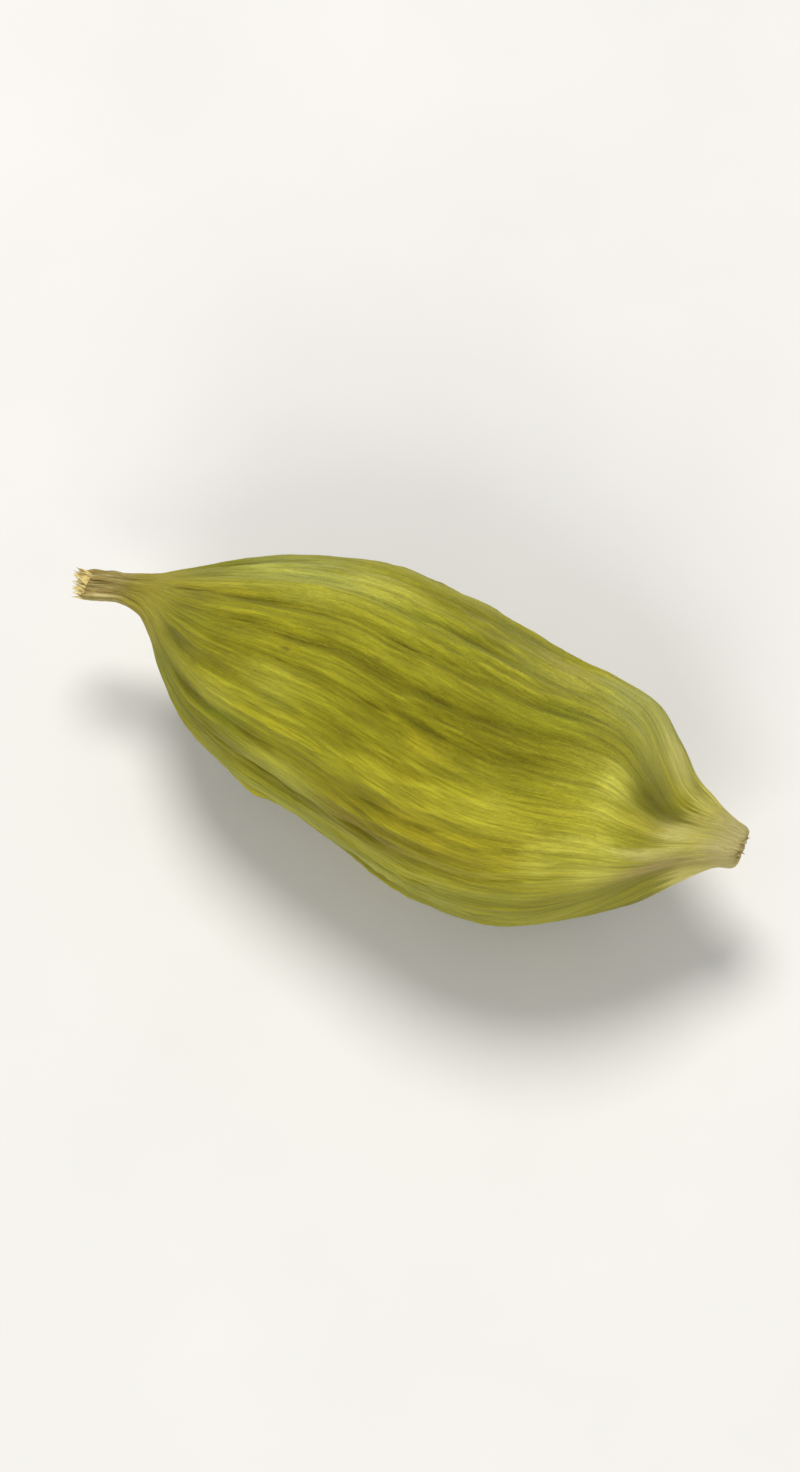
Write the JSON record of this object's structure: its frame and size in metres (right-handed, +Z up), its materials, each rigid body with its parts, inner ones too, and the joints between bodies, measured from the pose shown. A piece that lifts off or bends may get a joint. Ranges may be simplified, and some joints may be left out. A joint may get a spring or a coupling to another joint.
{
  "type": "green cardamom pod",
  "caption": "Dried green spice pod with fine ribs, rounded and slightly three-sided, tapering to a short stalk stub and a small pale nib at its ends.",
  "frame": {"origin": "on the surface that the pod rests on, under the middle of its box", "axes": "+X along the pod from the stalk to the flower end, +Z up, +Y to the far side"},
  "size_m": [0.0184, 0.0078, 0.0069],
  "materials": {
    "husk": "dry, matt, finely ribbed plant husk, yellow-green with straw-coloured ends"
  },
  "bodies": {
    "root": {"cardamom_pod": "husk"}
  },
  "joints": []
}
